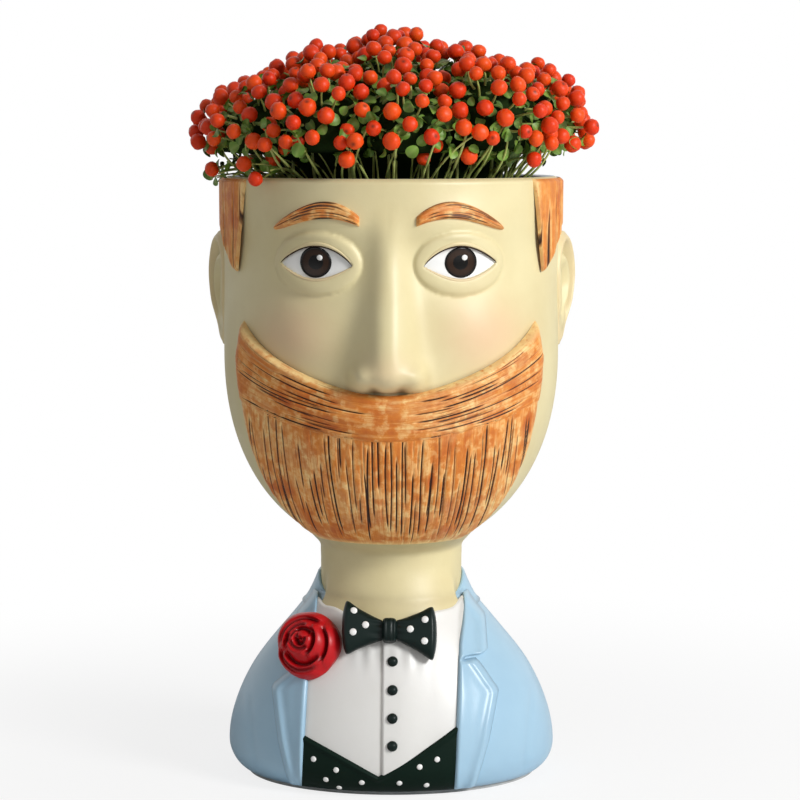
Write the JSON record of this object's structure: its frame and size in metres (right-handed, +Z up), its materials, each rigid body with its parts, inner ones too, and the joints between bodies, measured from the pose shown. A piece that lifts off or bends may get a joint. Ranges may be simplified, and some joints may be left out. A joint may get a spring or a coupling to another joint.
{
  "type": "head planter",
  "caption": "Hollow bust of a bearded figure in a jacket and bow tie, open at the top, with a lift-out grow pot holding a plant and a drain plug in its bowl.",
  "frame": {"origin": "middle of the base on the table", "axes": "+Z up, -Y the way the face looks, +X to the figure's left"},
  "size_m": [0.1823, 0.1867, 0.3376],
  "materials": {
    "skin_paint": "satin",
    "hair_paint": "satin",
    "beard_paint": "satin",
    "eye_white": "gloss",
    "eye_dark": "gloss",
    "jacket_paint": "satin",
    "shirt_paint": "satin",
    "waistcoat_paint": "satin",
    "tie_paint": "gloss",
    "stud_paint": "gloss",
    "rose_paint": "gloss",
    "raw_resin": "matte",
    "foam_pad": "matte",
    "plug_rubber": "matte",
    "grow_pot_plastic": "matte",
    "soil": "matte",
    "stem": "matte",
    "leaf": "satin",
    "berry": "gloss"
  },
  "bodies": {
    "planter": {"head_pot": "skin_paint", "beard": "beard_paint", "hair": "hair_paint", "brows": "hair_paint", "eye_whites": "eye_white", "irises": "eye_dark", "bust_shell": "jacket_paint", "base_plate": "raw_resin", "base_pad": "foam_pad", "jacket_collar": "jacket_paint", "shirt_front": "shirt_paint", "waistcoat": "waistcoat_paint", "left_lapel": "jacket_paint", "right_lapel": "jacket_paint", "placket": "shirt_paint", "shirt_studs": "stud_paint", "bow_tie_knot": "tie_paint", "bow_tie_wings": "tie_paint", "rose": "rose_paint"},
    "planted_pot": {"grow_pot": "grow_pot_plastic", "soil": "soil", "stems": "stem", "leaf_canopy": "leaf", "berries": "berry"},
    "drain_plug": {"drain_plug": "plug_rubber"}
  },
  "joints": [
    {"name": "pot_lift", "type": "slide", "parent": "planter", "child": "planted_pot", "axis": [0, 0, 1], "range_m": [0, 0.12]},
    {"name": "plug_pull", "type": "slide", "parent": "planter", "child": "drain_plug", "axis": [0, 0, 1], "range_m": [0, 0.012]}
  ]
}
